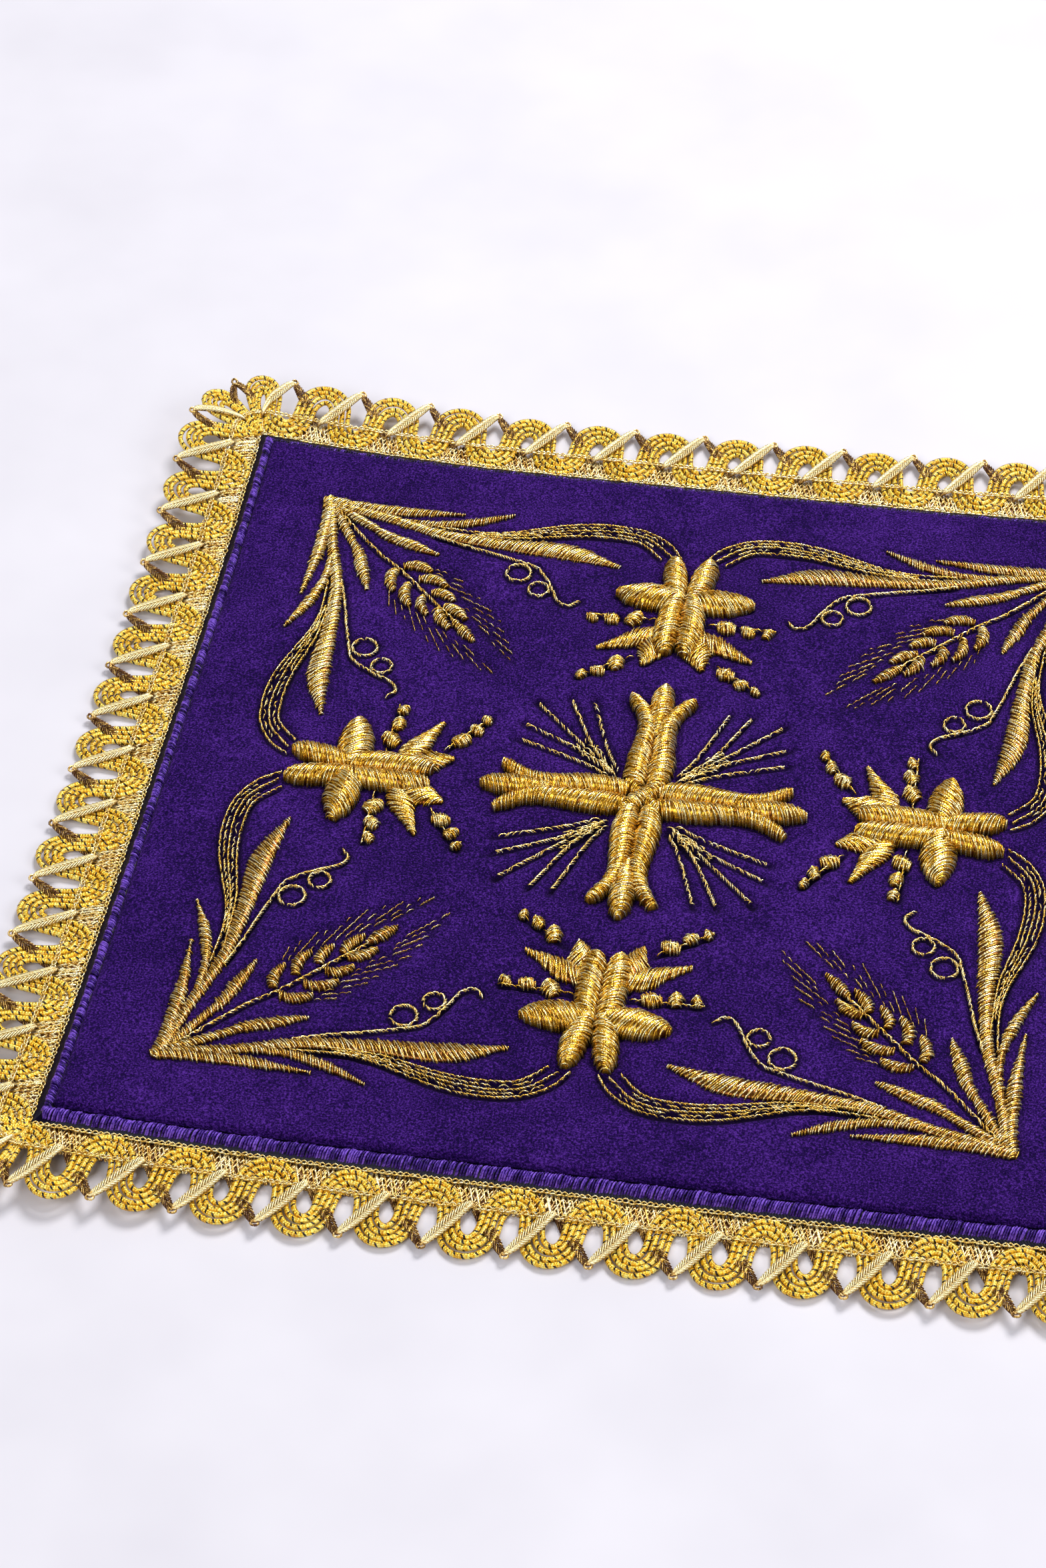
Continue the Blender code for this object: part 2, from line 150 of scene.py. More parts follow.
AWNS = (((46.9, 41.2), (46.2, 37.4)), ((46, 40.3), (44.7, 35.6)), ((45, 39.4), (42.6, 33.6)),
        ((43.2, 38.0), (41, 32.2)), ((41.8, 36.7), (38.5, 30.0)), ((40.4, 35.8), (36.3, 28.1)),
        ((38.6, 34.2), (34.0, 27.2)), ((36.8, 32.8), (31.6, 26)), ((34.9, 31.4), (29.2, 24.9)),
        ((33.0, 30.2), (27.2, 24.4)))  # from the grains to the tip


def rise(x, y):
    """How far the flat pall is lifted at places, by the curl of the nearest corner."""
    start = VELVET_HALF * math.sqrt(2) - CURL_START
    lifted = np.zeros(np.shape(x))
    for corner in CORNERS.values():
        along = (corner["x"] * x + corner["y"] * y) / math.sqrt(2)
        part = np.maximum((along - start) / CURL_START, 0)
        lifted += corner["lift"] * np.where(part < 1, part**2, 2 * part - 1)
    return lifted


def turned(points, quarter_turns):
    """Points of the back side, turned clockwise to another side."""
    points = np.array(points, float)
    for _ in range(quarter_turns):
        points[..., 0], points[..., 1] = points[..., 1].copy(), -points[..., 0]
    return points


def curled(points):
    """Points of the flat pall, lifted where its corners curl up."""
    points = np.array(points, float)
    points[..., 2] += rise(points[..., 0], points[..., 1])
    return points


def joined(x, y, z):
    """Places from their three parts, of which the smaller ones are spread over the rest."""
    return np.stack(np.broadcast_arrays(x, y, z), axis=-1)


def jitter(amount, shape):
    """Random amounts, some above and some below nothing."""
    return rng.normal(0, amount, shape)


def smooth(points, steps=12):
    """A Catmull-Rom curve through rows of numbers."""
    rows = np.array(points, float)
    rows = np.vstack((2 * rows[0] - rows[1], rows, 2 * rows[-1] - rows[-2]))
    t = (np.arange(steps) / steps)[:, None]
    spans = []
    for a, b, c, d in zip(rows, rows[1:], rows[2:], rows[3:]):
        square = 2 * a - 5 * b + 4 * c - d
        cube = 3 * (b - c) + d - a
        spans.append(0.5 * (2 * b + (c - a) * t + square * t**2 + cube * t**3))
    return np.vstack(spans + [rows[-2:-1]])


class Spine:
    """A smooth line through stations of place and half width, read by the length along it."""

    def __init__(self, stations):
        table = smooth(stations) if len(stations) > 2 else np.array(stations, float)
        if table.shape[1] == 2:
            table = np.column_stack((table, np.ones(len(table))))
        hops = np.linalg.norm(np.diff(table[:, :2], axis=0), axis=1)
        self.marks = np.concatenate(([0], np.cumsum(hops)))
        self.length = self.marks[-1]
        self.place = table[:, :2]
        self.half = table[:, 2]
        self.way = np.gradient(self.place, self.marks, axis=0)
        self.way /= np.linalg.norm(self.way, axis=1, keepdims=True)

    def read(self, column, along):
        return np.interp(along, self.marks, column)

    def at(self, along, across):
        """The place at a length along the line and a distance to its right."""
        x, y = (self.read(self.place[:, i], along) for i in (0, 1))
        way_x, way_y = (self.read(self.way[:, i], along) for i in (0, 1))
        return x + way_y * across, y - way_x * across


def place_object(name, data):
    """Adds an object to the scene."""
    made = bpy.data.objects.new(name, data)
    bpy.context.scene.collection.objects.link(made)
    return made


class ThreadMesh:
    """Gathers threads and the padding under them into one mesh."""

    def __init__(self):
        self.vertices, self.tones, self.faces, self.slots, self.uvs = [], [], [], [], []
        self.count = 0

    def add_rings(self, rings, along, tones, slot=0):
        """Skins rows of rings (threads, points, corners, xyz) with faces, and caps both ends."""
        threads, points, corners, _ = rings.shape
        number = self.count + np.arange(threads * points * corners).reshape(threads, points, corners)
        after = np.roll(number, -1, axis=2)
        quads = np.stack((number[:, :-1], number[:, 1:], after[:, 1:], after[:, :-1]), axis=-1)
        lengths = np.broadcast_to(along[:, :, None], (threads, points, corners))
        around = np.broadcast_to(np.arange(corners) / corners, (threads, points - 1, corners))
        further = around + 1 / corners
        u = np.stack((lengths[:, :-1], lengths[:, 1:], lengths[:, 1:], lengths[:, :-1]), axis=-1)
        v = np.stack((around, around, further, further), axis=-1)
        self.faces.append(quads.reshape(-1, 4))
        self.uvs.append(np.stack((u, v), axis=-1).reshape(-1, 2))
        places = np.tile(np.arange(corners) / corners, threads)
        for cap, where in ((number[:, 0], along[:, 0]), (number[:, -1, ::-1], along[:, -1])):
            self.faces.append(cap)
            self.uvs.append(np.stack((np.repeat(where, corners), places), axis=-1))
        self.slots += [slot] * (quads.size // 4 + 2 * threads)
        self.vertices.append(rings.reshape(-1, 3))
        tones = np.broadcast_to(np.reshape(tones, (threads, -1)), (threads, points))
        self.tones.append(np.repeat(tones.ravel(), corners))
        self.count += rings.size // 3

    def add(self, paths, radius, sides=3, flat=1.0, tone=(0.0, 1.0), slot=0, shade=0.0):
        """Adds threads that follow paths (threads, points, xyz). flat is a thread's height over its width,
        tone is the range that its lightness is drawn from, and shade is added to that point by point."""
        paths = curled(paths)
        threads, points, _ = paths.shape
        radius = np.broadcast_to(radius, (threads, points))
        way = np.gradient(paths, axis=1)
        way /= np.linalg.norm(way, axis=2, keepdims=True)
        side = np.stack((way[..., 1], -way[..., 0], np.zeros((threads, points))), axis=2)
        side /= np.maximum(np.linalg.norm(side, axis=2, keepdims=True), 1e-9)
        up = np.cross(side, way)
        angle = 2 * np.pi * np.arange(sides)[:, None] / sides + np.pi / 2
        spread = np.cos(angle) * side[:, :, None] + flat * np.sin(angle) * up[:, :, None]
        rings = paths[:, :, None] + radius[:, :, None, None] * spread
        hops = np.linalg.norm(np.diff(paths, axis=1), axis=2)
        along = np.concatenate((np.zeros((threads, 1)), np.cumsum(hops, axis=1)), axis=1)
        along += rng.uniform(0, 5, (threads, 1))
        tones = rng.uniform(tone[0], tone[1], (threads, 1)) + shade * np.ones(points)
        self.add_rings(rings, along, tones, slot)

    def build(self, name, threads, replaces=None):
        """Makes a piece of the mesh, sewn in the named threads, parents it to the root and hides the part
        that it replaces.
        """
        mesh = bpy.data.meshes.new(name)
        vertices = np.concatenate(self.vertices) * MM
        corners = np.concatenate([faces.ravel() for faces in self.faces])
        totals = np.concatenate([np.full(len(faces), faces.shape[1]) for faces in self.faces])
        mesh.vertices.add(len(vertices))
        mesh.vertices.foreach_set("co", vertices.astype(np.float32).ravel())
        mesh.loops.add(len(corners))
        mesh.loops.foreach_set("vertex_index", corners.astype(np.int32))
        mesh.polygons.add(len(totals))
        mesh.polygons.foreach_set("loop_start", (np.cumsum(totals) - totals).astype(np.int32))
        mesh.polygons.foreach_set("material_index", np.array(self.slots, np.int32))
        uv = mesh.uv_layers.new(name="thread")
        uv.data.foreach_set("uv", np.concatenate(self.uvs).astype(np.float32).ravel())
        tone = mesh.attributes.new("tone", "FLOAT", "POINT")
        tone.data.foreach_set("value", np.concatenate(self.tones).astype(np.float32))
        mesh.update(calc_edges=True)
        mesh.shade_smooth()
        for thread in threads:
            mesh.materials.append(materials[thread])
        piece = place_object(name, mesh)
        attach(piece, "root")
        if replaces:
            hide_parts(replaces)
        return piece


# Where stitches pull the pile down: rows of x, y and strength
footprints = []


def press(x, y, strength=1.0):
    x, y = np.broadcast_arrays(x, y)
    footprints.append(np.column_stack((x.ravel(), y.ravel(), np.full(x.size, strength))))


# Satin stitches: what a lobe's edge is drawn in by, the stitches' radius, how deep their ends sink, how hard
# these press the pile, the length of a little group of them, and how narrow and low their padding is
LOBE_INSET = 0.12
STITCH_RADIUS = 0.145
STITCH_DIP = 0.3
END_PRESS = 0.55
GROUP_LENGTH = 0.62
PADDING_WIDTH = 0.94
PADDING_DROP = 0.08


def arch(across):
    """How high a padded lobe stands for its middle's height, at places across it from -1 to 1."""
    return (1 - np.abs(across) ** 2.4) ** 0.5


def satin(
    threads, stations, height, pitch=0.27, slant=0.5, points=7, tone=(0.1, 0.9), under=-0.3, groups=0.65
):
    """A lobe of satin stitches, side by side over padding. slant is how far a stitch leans for its half
    width, under is the padding's tone, kept dark as painted shade in the gaps between the stitches, and
    groups is how much little groups of stitches differ in tone."""
    spine = Spine(stations)
    spine.half = spine.half - LOBE_INSET
    widest = spine.half.max()
    count = max(int(spine.length / pitch), 3)
    starts = np.linspace(0, spine.length, count) + jitter(0.04, count)
    leans = slant + jitter(0.1, count) + 0.06 * (-1) ** np.arange(count)
    across = -np.cos(np.linspace(0, np.pi, points))
    half = spine.read(spine.half, np.clip(starts, 0, spine.length))
    along = np.clip(starts[:, None] + (leans * half)[:, None] * across, 0, spine.length)
    wide = spine.read(spine.half, along) + jitter(0.12, (count, 1))
    x, y = spine.at(along, across * wide)
    tops = height * (spine.read(spine.half, along) / widest) ** 0.5 + jitter(0.03, (count, 1))
    z = STITCH_BASE - STITCH_DIP + (tops + STITCH_DIP) * arch(across)
    # The stitches lie in little groups, lighter and darker by turns.
    group = groups * np.sin(2 * np.pi * starts / GROUP_LENGTH + np.cumsum(jitter(0.35, count)))
    threads.add(joined(x, y, z), STITCH_RADIUS, flat=0.8, tone=tone, shade=group[:, None])
    press(x[:, [0, -1]], y[:, [0, -1]], END_PRESS)

    # The padding below, dark by its tone: painted shade between the stitches.
    marks = np.linspace(0, spine.length, max(int(spine.length / 1.0), 4))
    corners = np.cos(np.linspace(0, np.pi, 9))
    x, y = spine.at(marks[:, None], corners * spine.read(spine.half, marks)[:, None] * PADDING_WIDTH)
    tops = height * (spine.read(spine.half, marks) / widest) ** 0.5
    z = STITCH_BASE - STITCH_DIP + (tops[:, None] + STITCH_DIP - PADDING_DROP) * arch(corners)
    threads.add_rings(curled(joined(x, y, z))[None], marks[None], [under])


USUAL_SLANT = 0.75  # the share of a chain's stitches that slant the usual way


def chain(
    threads, route, cell=1.15, width=0.4, radius=0.135, base=2.85, lift=0.35,
    skip=0.0, tone=(0, 1), pressed=1.0,
):
    """A row of small stitches, two to a cell, that slant across it, most of them the same way. skip is the
    share of them that is left out, and pressed is how much they pull the pile down."""
    spine = Spine(route)
    count = max(int(spine.length / cell), 1) * 2
    starts = (np.arange(count) + rng.uniform(-0.2, 0.2, count)) * spine.length / count
    starts = starts[rng.uniform(size=count) >= skip][:, None]
    if len(starts):
        part = np.linspace(0, 1, 5)
        reach = rng.uniform(0.95, 1.4, (len(starts), 1)) * cell
        along = np.clip(starts + reach * part, 0, spine.length)
        way = np.where(rng.uniform(size=(len(starts), 1)) < USUAL_SLANT, 1, -1)
        shift = way * width * (2 * part - 1) * rng.uniform(0.7, 1.1, (len(starts), 1))
        x, y = spine.at(along, shift)
        z = base + lift * np.sin(np.pi * part) + jitter(0.03, (len(starts), 1))
        threads.add(joined(x, y, z), radius, flat=0.7, tone=tone)
    marks = np.linspace(0, spine.length, max(int(spine.length / 0.25), 2))
    press(*spine.at(marks, 0), pressed)


def outward(stations, quarter_turns, mirror=1):
    """Stations given as outward and to the side, as x and y on the side that the quarter turns reach."""
    rows = np.array(stations, float)
    rows[:, [0, 1]] = turned(np.column_stack((mirror * rows[:, 1], rows[:, 0])), quarter_turns)
    return rows


def cornered(stations, corner, twin):
    """Stations given as across and outward, as x and y at a corner, or of their twin in its diagonal."""
    rows = np.array(stations, float)
    if twin:
        rows[:, [0, 1]] = rows[:, [1, 0]]
    return rows * ([corner["x"], corner["y"]] + [1] * (rows.shape[1] - 2))


class Nodes:
    """Shorthand for a material's linked nodes. An input given as i0, i1 and so on goes by its number."""

    def __init__(self, name):
        self.material = bpy.data.materials.new(name)
        self.material.use_nodes = True
        self.tree = self.material.node_tree
        self.shader = self.tree.nodes["Principled BSDF"]

    def add(self, kind, settings=(), **inputs):
        node = self.tree.nodes.new("ShaderNode" + kind)
        for key, value in dict(settings).items():
            setattr(node, key, value)
        for key, value in inputs.items():
            socket = int(key[1:]) if key[0] == "i" and key[1:].isdigit() else key
            self.feed(node.inputs[socket], value)
        return node

    def feed(self, socket, value):
        if isinstance(value, bpy.types.NodeSocket):
            self.tree.links.new(value, socket)
        else:
            socket.default_value = value

    def attribute(self, name):
        return self.add("Attribute", {"attribute_name": name}).outputs["Fac"]

    def place(self):
        return self.add("TexCoord").outputs["Object"]

    def noise(self, scale, detail=2.0, roughness=0.5, vector=None):
        vector = vector or self.place()
        node = self.add("TexNoise", Vector=vector, Scale=scale, Detail=detail, Roughness=roughness)
        return node.outputs["Fac"]

    def maths(self, operation, first, second=0.0, third=0.0):
        return self.add("Math", {"operation": operation}, i0=first, i1=second, i2=third).outputs[0]

    def ramp(self, factor, *stops):
        node = self.add("ValToRGB", Fac=factor)
        elements = node.color_ramp.elements
        while len(elements) < len(stops):
            elements.new(0.5)
        for element, (position, colour) in zip(elements, stops):
            element.position = position
            element.color = (*colour, 1.0)
        return node.outputs["Color"]

    def blend(self, factor, first, second):
        node = self.add("Mix", {"data_type": "RGBA"}, Factor=factor)
        self.feed(node.inputs[6], first)
        self.feed(node.inputs[7], second)
        return node.outputs[2]

    def bump(self, height, distance, strength=1.0, normal=None):
        node = self.add("Bump", Height=height, Distance=distance, Strength=strength)
        if normal:
            self.feed(node.inputs["Normal"], normal)
        return node.outputs["Normal"]

    def finish(self, **inputs):
        for key, value in inputs.items():
            self.feed(self.shader.inputs[key.replace("_", " ")], value)
        return self.material


# What a thread's lightness is made up of, with its glints and the twist's turns painted in as light and
# shade, the size of its turns and glints, and the dark dashes in the gaps of a wrapped cord
GLINT_SHARE = 1.8
TONE_SHARE = 0.3
TWIST_SHARE = 0.1
LIGHTNESS_BASE = -0.57
SHADE_STOPS = (0.08, 0.45, 0.68)
TURN_LENGTH = 0.42
TURN_DEPTH = 0.03
GLINT_DEPTH = 0.05
DASH_LENGTH = 1.0
DASH_GAP = 0.3
DASH_COLOUR = (0.012, 0.006, 0.002, 1.0)


def thread_material(name, shades, metallic, roughness, fleck, coat=0.0, dashes=0.0, specular=0.5, twist=0.25):
    """Thread whose glints, painted into its colour as well as its bump, are drawn out along it. shades are
    its dark, middle and light colours, fleck is a glint's length, dashes is the share of its round where dark
    dashes show, and twist is how strongly its turns show, as painted light and dark stripes and as bump."""
    nodes = Nodes(name)
    split = nodes.add("SeparateXYZ", Vector=nodes.add("UVMap", {"uv_map": "thread"}).outputs["UV"])
    along, around = split.outputs["X"], split.outputs["Y"]
    tone = nodes.attribute("tone")
    flecks = nodes.maths("MULTIPLY", along, 1 / fleck)
    strand = nodes.add("CombineXYZ", X=flecks, Y=nodes.maths("MULTIPLY", around, 1.5))
    glint = nodes.noise(1.0, 3.0, 0.6, strand.outputs[0])
    wave = nodes.maths("SINE", nodes.maths("MULTIPLY_ADD", along, 2 * math.pi / TURN_LENGTH, around))
    level = nodes.maths("MULTIPLY_ADD", tone, TONE_SHARE, LIGHTNESS_BASE)
    level = nodes.maths("MULTIPLY_ADD", glint, GLINT_SHARE, level)
    level = nodes.maths("MULTIPLY_ADD", wave, TWIST_SHARE * twist, level)
    # Painted glints and painted stripes of the twist's turns lighten and darken the colour.
    colour = nodes.ramp(level, *zip(SHADE_STOPS, shades))
    if dashes:
        gap = nodes.maths("FRACT", nodes.maths("MULTIPLY_ADD", along, 1 / DASH_LENGTH, around))
        shown = nodes.maths("LESS_THAN", gap, DASH_GAP)
        wander = nodes.maths("MULTIPLY", along, 0.37)
        part = nodes.maths("FRACT", nodes.maths("MULTIPLY_ADD", around, 2.0, wander))
        patch = nodes.maths("MULTIPLY", shown, nodes.maths("LESS_THAN", part, dashes))
        colour = nodes.blend(patch, colour, DASH_COLOUR)
    normal = nodes.bump(wave, TURN_DEPTH * twist * MM)
    normal = nodes.bump(glint, GLINT_DEPTH * MM, normal=normal)
    return nodes.finish(
        Base_Color=colour,
        Normal=normal,
        Metallic=metallic,
        Roughness=roughness,
        Coat_Weight=coat,
        Coat_Roughness=0.25,
        Specular_IOR_Level=specular,
    )


# Velvet: how fine its tufts, patches and broad patches are, how much the patches add to the tufts, what
# scales their sum, the colours with their places in it, and how high the tufts stand
TUFT_SCALE = 3300
PATCH_SCALE = 240
BROAD_SCALE = 45
PATCH_SHARE = 0.16
PILE_LEVEL = 0.70
PILE_SHADES = ((0.39, (0.004, 0.0005, 0.030)), (0.475, (0.024, 0.0037, 0.104)), (0.57, (0.088, 0.023, 0.29)))
# Painted shade in the stitches' furrows, partly the darker crushed pile too
PRESSED_SHADE_COLOUR = (0.0035, 0.0005, 0.014, 1.0)
TUFT_DEPTH = 0.35


def velvet_material():
    nodes = Nodes("purple_velvet")
    tufts = nodes.noise(TUFT_SCALE, 3.0, 0.7)
    patches = nodes.noise(PATCH_SCALE, 4.0, 0.6)
    broad = nodes.noise(BROAD_SCALE, 3.0, 0.5)
    mixed = nodes.maths("MULTIPLY_ADD", broad, PATCH_SHARE, tufts)
    mixed = nodes.maths("MULTIPLY_ADD", patches, PATCH_SHARE, mixed)
    colour = nodes.ramp(nodes.maths("MULTIPLY", mixed, PILE_LEVEL), *PILE_SHADES)
    # The pile is darkened where stitches press it: painted shade in the furrows, partly the darker crushed
    # pile.
    pressed = nodes.maths("POWER", nodes.attribute("pressed"), 0.7)
    return nodes.finish(
        Base_Color=nodes.blend(pressed, colour, PRESSED_SHADE_COLOUR),
        Normal=nodes.bump(tufts, TUFT_DEPTH * MM),
        Roughness=0.85,
        Specular_IOR_Level=0.05,
        Sheen_Weight=0.06,
        Sheen_Roughness=0.35,
        Sheen_Tint=(0.45, 0.28, 0.95, 1.0),
    )


WEAVE_PITCH = 0.45
WEAVE_DEPTH = 0.08
WEAVE_SHADES = ((0.2, (0.022, 0.007, 0.075)), (0.8, (0.06, 0.022, 0.19)))


def backing_material():
    """The plain cloth of the underside: a fine even weave."""
    nodes = Nodes("purple_backing")
    split = nodes.add("SeparateXYZ", Vector=nodes.place())
    turns = 2 * math.pi / (WEAVE_PITCH * MM)
    warp = nodes.maths("SINE", nodes.maths("MULTIPLY", split.outputs["X"], turns))
    weft = nodes.maths("SINE", nodes.maths("MULTIPLY", split.outputs["Y"], turns))
    weave = nodes.maths("MULTIPLY", warp, weft)
    level = nodes.maths("MULTIPLY_ADD", weave, 0.25, nodes.noise(900, 3.0))
    normal = nodes.bump(weave, WEAVE_DEPTH * MM, 0.8)
    return nodes.finish(Base_Color=nodes.ramp(level, *WEAVE_SHADES), Normal=normal, Roughness=0.8)


THREADS = {
    "gold_thread": {
        "shades": ((0.15, 0.043, 0.001), (0.97, 0.56, 0.040), (1.0, 0.92, 0.52)),
        "metallic": 0.8, "roughness": 0.25, "fleck": 0.9,
    },
    "leaf_gold_thread": {
        "shades": ((0.13, 0.042, 0.002), (0.96, 0.58, 0.08), (1.0, 0.92, 0.56)),
        "metallic": 0.78, "roughness": 0.26, "fleck": 0.8,
    },
    "fine_gold_thread": {
        "shades": ((0.40, 0.18, 0.015), (0.98, 0.68, 0.17), (1.0, 0.93, 0.60)),
        "metallic": 0.68, "roughness": 0.27, "fleck": 0.5,
    },
    "gold_cord": {
        "shades": ((0.46, 0.17, 0.001), (0.98, 0.55, 0.010), (1.0, 0.83, 0.18)),
        "metallic": 0.42, "roughness": 0.22, "fleck": 0.5, "coat": 0.3, "dashes": 0.62, "twist": 1.0,
    },
    "pale_gold_ribbon": {
        "shades": ((0.11, 0.034, 0.002), (0.97, 0.61, 0.16), (1.0, 0.88, 0.50)),
        "metallic": 0.4, "roughness": 0.3, "fleck": 0.5, "coat": 0.2,
    },
    "violet_thread": {
        "shades": ((0.002, 0.0003, 0.012), (0.050, 0.012, 0.23), (0.22, 0.10, 0.64)),
        "metallic": 0.0, "roughness": 0.45, "fleck": 0.9, "specular": 0.2,
    },
}
materials = {name: thread_material(name, **looks) for name, looks in THREADS.items()}


def make_cross():
    threads = ThreadMesh()
    for quarter in range(4):
        for mirror in (-1, 1):
            satin(threads, outward(CROSS_LOBES["long"], quarter, mirror), CROSS_HEIGHT, slant=0.5 * mirror)
        satin(threads, outward(CROSS_LOBES["tip"], quarter), CROSS_HEIGHT, slant=0.45)
    for quarter in range(4):
        satin(threads, outward(CROSS_LOBES["knot"], quarter), CROSS_HEIGHT, slant=0.3)
    satin(threads, CROSS_LOBES["hub"], HUB_HEIGHT, slant=0.2)
    return threads.build("cross", ["gold_thread"], replaces="cross")


def make_rays():
    threads = ThreadMesh()
    for corner in CORNERS.values():
        for twin in (False, True):
            for ray in RAYS[1:] if twin else RAYS:
                chain(threads, cornered(ray, corner, twin), cell=1.0, width=0.3, radius=0.12, skip=0.08)
            for ray in RAY_FILLS:
                chain(threads, cornered(ray, corner, twin), width=0.3, radius=0.12, skip=0.45)
        for ray in RAYS:
            for twin in (False, True):
                end, before = np.array(ray[-1]), np.array(ray[-2])
                way = (end - before) / np.linalg.norm(end - before)
                past = end + way * np.linspace(0, FURROW_PAST, 5)[:, None]
                press(*cornered(past, corner, twin).T)
    return threads.build("cross_rays", ["fine_gold_thread"])


def make_lily(side):
    _, _, quarter = SIDES[side]
    threads = ThreadMesh()
    for mirror in (-1, 1):
        for stations in LILY_TIPS.values():
            satin(threads, outward(stations, quarter, mirror), TIP_HEIGHT, slant=0.9 * mirror, under=-1.2)
        satin(threads, outward(LILY_LOBES["inner"], quarter, mirror), LILY_HEIGHT, slant=-0.6 * mirror)
        satin(threads, outward(LILY_LOBES["outer"], quarter, mirror), LILY_HEIGHT, slant=0.6 * mirror)
        petal = outward(LILY_LOBES["petal"], quarter, mirror)
        satin(threads, petal, LILY_HEIGHT, slant=0.7 * mirror, points=9)
    return threads.build("lily_" + side, ["gold_thread"], replaces="lily_" + side)


def knot(threads, x, y, radius, turn):
    """A little knot of stitches: a short, round lobe with three stitches across it."""
    rows = []
    for along, half in KNOT_OUTLINE:
        reach = along * radius
        rows.append((x + reach * math.cos(turn), y + reach * math.sin(turn), half * radius))
    height = BEAD_HEIGHT * (0.35 + 0.35 * radius)
    satin(threads, rows, height, slant=0.4, tone=(0.3, 1.3), under=-0.6, groups=0.3)
    for _ in range(3):
        lean = turn + jitter(0.5, None)
        reach = radius * np.linspace(-0.95, 0.95, 7)
        px, py = x + reach * math.cos(lean), y + reach * math.sin(lean)
        z = STITCH_BASE - 0.2 + (height + 0.28) * arch(reach / radius)
        threads.add(joined(px, py, z)[None], 0.15, flat=0.8, tone=(0.4, 1.2))


def make_beads(side):
    """The little knots of stitches beside a lily, and the thread between them."""
    _, _, quarter = SIDES[side]
    threads = ThreadMesh()
    for mirror in (-1, 1):
        for out, across, radius in BEADS:
            x, y = outward(((out, across),), quarter, mirror)[0]
            knot(threads, x, y, 0.85 * radius, rng.uniform(0, math.pi))
        for ends in BEAD_THREADS:
            route = outward(ends, quarter, mirror)
            chain(threads, route, cell=1.3, width=0.14, radius=0.13, lift=0.45, skip=0.35)
    return threads.build("stitched_beads_" + side, ["gold_thread"])


def make_spray(name):
    corner = CORNERS[name]
    threads = ThreadMesh()
    for twin in (False, True):
        lean = corner["x"] * corner["y"] * (-1 if twin else 1)
        for stations in SPRAY_LEAVES.values():
            rows = cornered(stations, corner, twin)
            satin(threads, rows, LEAF_HEIGHT, 0.38, 0.6 * lean, 6, tone=(0.2, 1.1), under=-2.0, groups=0.6)
        for row in SCROLL_ROWS.values():
            chain(threads, cornered(row, corner, twin), cell=0.9, width=0.17, radius=0.125, skip=0.05)
        for pair in (("outer", "middle"), ("middle", "inner")):
            # Slanted stitches fill the scroll between two of its rows.
            first, second = (Spine(SCROLL_ROWS[row]) for row in pair)
            part = np.linspace(0.08, 0.9, 14)
            route = (np.array(first.at(part * first.length, 0)) + second.at(part * second.length, 0)).T / 2
            route = cornered(route, corner, twin)
            chain(threads, route, 0.85, 0.22, radius=0.11, skip=0.4, tone=(0.2, 1.2), pressed=0.4)
        for grain in GRAINS:
            rows = cornered(grain, corner, twin)
            satin(threads, rows, GRAIN_HEIGHT, pitch=0.36, slant=0.6 * lean, under=-1.5)
    satin(threads, cornered(TOP_GRAIN, corner, False), GRAIN_HEIGHT, pitch=0.36, slant=0.3, under=-1.5)
    chain(threads, cornered(STEM, corner, False), width=0.3, radius=0.14)
    name = "corner_spray_" + name
    return threads.build(name, ["leaf_gold_thread"], replaces=name)


def make_tendrils(name):
    """A corner's tendrils with their rings, and the wheat's awns, which are mostly furrows in the pile."""
    corner = CORNERS[name]
    threads = ThreadMesh()
    for twin in (False, True):
        chain(threads, cornered(TENDRIL, corner, twin), cell=1.0, width=0.24, radius=0.14)
        for x, y, radius in TENDRIL_RINGS:
            turn = np.linspace(0.3, 2 * np.pi + 0.1, 17)
            ring = np.column_stack((x + radius * np.cos(turn), y + radius * np.sin(turn)))
            chain(threads, cornered(ring, corner, twin), cell=0.9, width=0.24, radius=0.14)
        for awn in AWNS:
            route = cornered(awn, corner, twin)
            chain(threads, route, 1.0, 0.03, radius=0.09, base=2.7, skip=0.5, tone=(-1.0, 0.6), pressed=0.4)
    return threads.build("tendrils_" + name, ["fine_gold_thread"])


# How each side's edge stitches lie: their middle outward from the velvet, how far they reach from it, how
# much lower than usual they sit, and the range of their tones, which carry painted light and shade: darkest
# at the back, lighter at the right and front
BINDING_STITCHES = {
    "back": {"middle": 0.72, "reach": 0.68, "drop": 0.35, "tones": (-1.0, 0.6)},
    "right": {"middle": 0.95, "reach": 0.95, "drop": 0.0, "tones": (0.2, 1.2)},
    "front": {"middle": 0.88, "reach": 0.84, "drop": 0.0, "tones": (-0.1, 1.2)},
    "left": {"middle": 0.72, "reach": 0.68, "drop": 0.0, "tones": (-0.5, 1.4)},
}
BINDING_PITCH = 0.38
BINDING_RADIUS = 0.23
BINDING_LEAN = 0.45

# The sections of a side's stitches and of the padding below them, which fills the bar from the velvet to the
# lace: outward from the middle for their reach, and up
BINDING_SECTION = ((-1.0, 1.3), (-0.85, 1.8), (-0.4, 2.1), (0.15, 2.1), (0.62, 1.8), (0.95, 1.1), (1.1, 0.4))
BAR_SECTION = ((-1.0, 0.3), (-1.0, 1.7), (-0.6, 1.8), (-0.1, 1.8),
               (0.25, 1.4), (0.6, 1.0), (1.0, 0.8), (1.05, 0.3))
BAR_MIDDLE = 1.05
BAR_REACH = 1.3
# The bar's dark tone is painted shadow beside the stitches.
BAR_SHADE_TONE = -1.8


